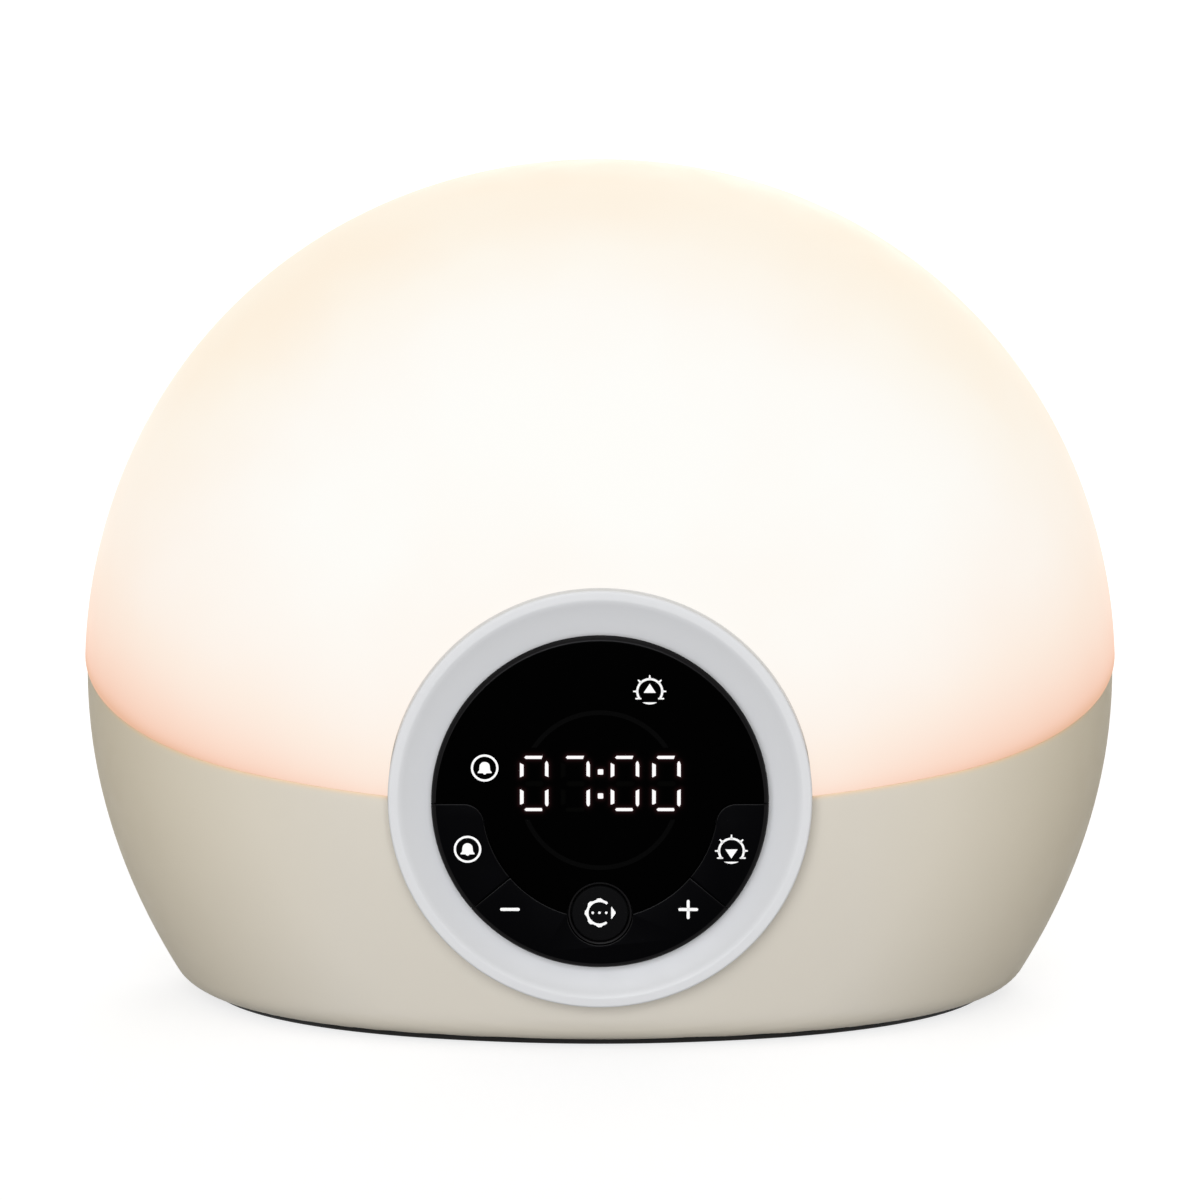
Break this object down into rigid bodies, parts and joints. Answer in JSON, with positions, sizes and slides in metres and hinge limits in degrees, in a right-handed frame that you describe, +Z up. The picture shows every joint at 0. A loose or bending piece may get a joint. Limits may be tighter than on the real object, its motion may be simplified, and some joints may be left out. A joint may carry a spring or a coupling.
{
  "type": "sunrise alarm clock",
  "caption": "Round bedside alarm clock with a lit opal dome over a beige base, a low round black display with press keys, and a flat underside on rubber feet.",
  "frame": {"origin": "centre of the clock's footprint box, on the surface that the feet stand on", "axes": "+Z up, the display faces -Y, +X to the right of a person looking at the display"},
  "size_m": [0.2096, 0.112, 0.17],
  "materials": {
    "opal_dome": "opal light-diffusing plastic, lit warm from inside, fine satin",
    "beige_shell": "warm beige satin moulding",
    "black_plate": "black matt moulding",
    "foot_rubber": "dark rubber",
    "ring_white": "cool pale grey satin moulding",
    "drum_black": "black satin moulding",
    "lens_black": "glossy smoked black lens",
    "key_black": "satin black key",
    "steel": "steel",
    "circuit_board": "green solder mask",
    "switch_black": "black moulded switch bodies",
    "plunger_white": "white switch plungers",
    "led_clear": "clear light-emitting diodes",
    "reflector_white": "white reflecting moulding",
    "aluminium_sheet": "mill finish",
    "light_board_white": "white solder mask",
    "phosphor_led": "warm white diodes",
    "component_black": "black and dark components",
    "ribbon_grey": "grey flat ribbon",
    "wire_red": "red and black insulated wire",
    "wire_black": "black insulated wire"
  },
  "bodies": {
    "housing": {"diffuser": "opal_dome", "base_shell": "beige_shell", "rear_housing": "beige_shell", "bottom_plate": "black_plate", "feet": "foot_rubber", "bezel_ring": "ring_white", "display_drum": "drum_black", "display_lens": "lens_black", "display_back_cover": "drum_black", "rocker_pin": "steel", "control_board": "circuit_board", "switch_bodies": "switch_black", "digit_module": "switch_black", "indicator_leds": "led_clear", "light_pipes": "led_clear", "ring_screws": "steel", "cover_screws": "steel", "reflector": "reflector_white", "heat_spreader": "aluminium_sheet", "light_board": "light_board_white", "light_leds": "phosphor_led", "light_screws": "steel", "main_board": "circuit_board", "board_components": "component_black", "board_screws": "steel", "power_inlet": "component_black", "speaker_frame": "component_black", "speaker_magnet": "steel", "display_ribbon": "ribbon_grey", "light_wires": "wire_red", "speaker_wires": "wire_black", "rear_screws": "steel", "reflector_screws": "steel", "bottom_screws": "steel"},
    "alarm_button": {"alarm_key": "key_black", "alarm_plunger": "plunger_white"},
    "light_button": {"light_key": "key_black", "light_plunger": "plunger_white"},
    "rocker": {"rocker_key": "key_black", "rocker_plungers": "plunger_white"},
    "menu": {"menu_button": "key_black", "menu_plunger": "plunger_white"}
  },
  "joints": [
    {"name": "alarm_press", "type": "slide", "parent": "housing", "child": "alarm_button", "axis": [0, 1, 0], "range_m": [0, 0.0005], "stiffness_N_per_m": 600, "springref_m": -0.0005},
    {"name": "light_press", "type": "slide", "parent": "housing", "child": "light_button", "axis": [0, 1, 0], "range_m": [0, 0.0005], "stiffness_N_per_m": 600, "springref_m": -0.0005},
    {"name": "menu_press", "type": "slide", "parent": "housing", "child": "menu", "axis": [0, 1, 0], "range_m": [0, 0.0005], "stiffness_N_per_m": 600, "springref_m": -0.0005},
    {"name": "plus_minus_rock", "type": "hinge", "parent": "housing", "child": "rocker", "pos_m": [0, -0.05198, 0.02205], "axis": [0, 0, 1], "range_deg": [-1.2, 1.2], "stiffness_Nm_per_rad": 0.6}
  ]
}
